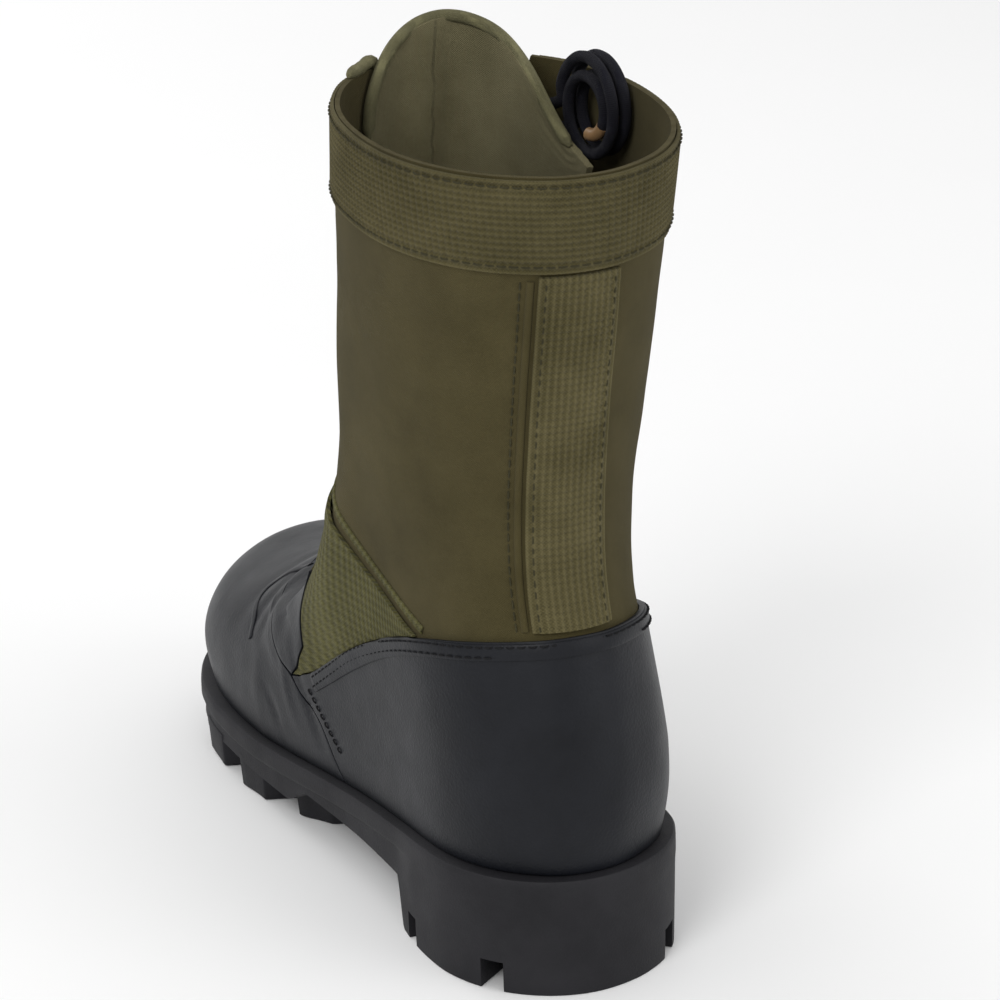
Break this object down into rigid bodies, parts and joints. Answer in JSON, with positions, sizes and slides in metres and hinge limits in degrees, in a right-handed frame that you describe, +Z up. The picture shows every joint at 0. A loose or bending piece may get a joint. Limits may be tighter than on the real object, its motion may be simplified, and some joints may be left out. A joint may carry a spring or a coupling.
{
  "type": "jungle boot",
  "caption": "Left lace-up jungle boot: olive canvas shaft, webbing straps, black leather vamp and counter, lugged rubber sole, laces tucked in.",
  "frame": {"origin": "on the ground, on the boot's lengthwise line, under the middle of the heel", "axes": "+X towards the toe, +Y towards the wearer's left (the outer side of this left boot), +Z up"},
  "size_m": [0.3038, 0.1113, 0.2993],
  "materials": {
    "canvas": "brown-olive cotton duck",
    "webbing": "olive ribbed webbing",
    "binding": "pale olive tape",
    "tongue_canvas": "soft olive cotton",
    "black_leather": "black grain leather, satin",
    "sole_rubber": "matt black moulded rubber",
    "lining": "woven inner sole",
    "lace_cord": "black braided cord",
    "eyelet_metal": "black enamelled eyelets"
  },
  "bodies": {
    "root": {"ankle_strap_left": "webbing", "ankle_strap_right": "webbing", "backstay": "webbing", "collar_band": "webbing", "collar_binding": "binding", "counter": "black_leather", "eyelet_left_1": "eyelet_metal", "eyelet_left_2": "eyelet_metal", "eyelet_left_3": "eyelet_metal", "eyelet_left_4": "eyelet_metal", "eyelet_left_5": "eyelet_metal", "eyelet_left_6": "eyelet_metal", "eyelet_left_7": "eyelet_metal", "eyelet_left_8": "eyelet_metal", "eyelet_left_9": "eyelet_metal", "eyelet_right_1": "eyelet_metal", "eyelet_right_2": "eyelet_metal", "eyelet_right_3": "eyelet_metal", "eyelet_right_4": "eyelet_metal", "eyelet_right_5": "eyelet_metal", "eyelet_right_6": "eyelet_metal", "eyelet_right_7": "eyelet_metal", "eyelet_right_8": "eyelet_metal", "eyelet_right_9": "eyelet_metal", "eyestay_left": "webbing", "eyestay_right": "webbing", "facing_left": "black_leather", "facing_right": "black_leather", "insole": "lining", "lace_bundle": "lace_cord", "lace_crossings": "lace_cord", "lace_end_left": "lace_cord", "lace_end_right": "lace_cord", "outsole": "sole_rubber", "tongue": "tongue_canvas", "upper": "canvas", "vamp": "black_leather"}
  },
  "joints": []
}
